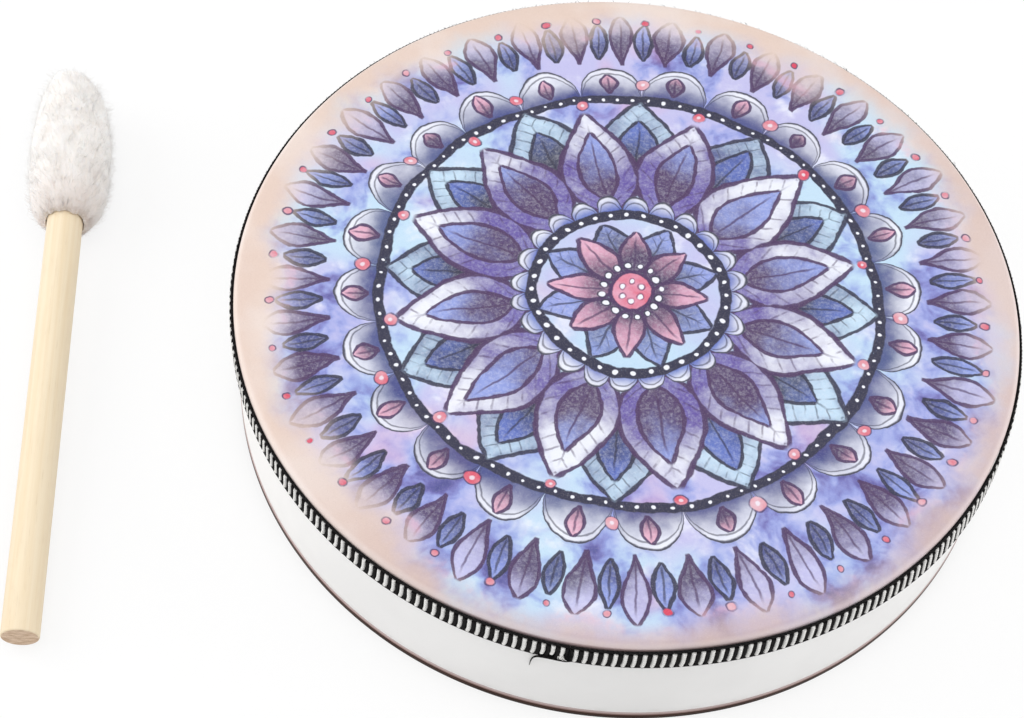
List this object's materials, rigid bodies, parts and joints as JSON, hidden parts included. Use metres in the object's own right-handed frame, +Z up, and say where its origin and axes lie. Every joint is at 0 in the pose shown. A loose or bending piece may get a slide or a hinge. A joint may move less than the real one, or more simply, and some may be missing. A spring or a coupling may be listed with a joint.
{
  "type": "frame drum with beater",
  "caption": "Shallow round frame drum with a printed head on a bent white hoop, striped braid trim and brown foot bead, with a wooden beater that has a fleece head.",
  "frame": {"origin": "on the drum's axis, in the plane of its foot", "axes": "+Z up along the drum's axis to the head, +Y away from the viewer of the picture, +X to the right"},
  "size_m": [0.3345, 0.2538, 0.0495],
  "materials": {
    "hoop_wood": "bare bent plywood, lightly sanded",
    "white_laminate": "white satin laminate",
    "brown_bead": "dark brown varnish, glossy",
    "printed_head": "matt membrane with a watercolour print in lavender, blue and peach",
    "black_yarn": "black spun yarn",
    "white_yarn": "white spun yarn",
    "dowel_wood": "pale bare dowel, sanded smooth",
    "wadding": "loose cotton wadding",
    "fleece": "long soft white pile",
    "binding_thread": "pale waxed thread"
  },
  "bodies": {
    "drum": {"hoop_inner_ply": "hoop_wood", "hoop_core_ply": "hoop_wood", "hoop_outer_ply": "hoop_wood", "hoop_laminate": "white_laminate", "foot_bead": "brown_bead", "drum_head": "printed_head", "braid_tape": "black_yarn", "braid_header": "black_yarn", "braid_white_ribs": "white_yarn", "braid_black_ribs": "black_yarn"},
    "beater": {"beater_handle": "dowel_wood", "beater_wadding": "wadding", "beater_fleece": "fleece", "beater_binding": "binding_thread"}
  },
  "joints": [
    {"name": "beater_lift", "type": "slide", "parent": "drum", "child": "beater", "axis": [0, 0, 1], "range_m": [0, 0.15]}
  ]
}
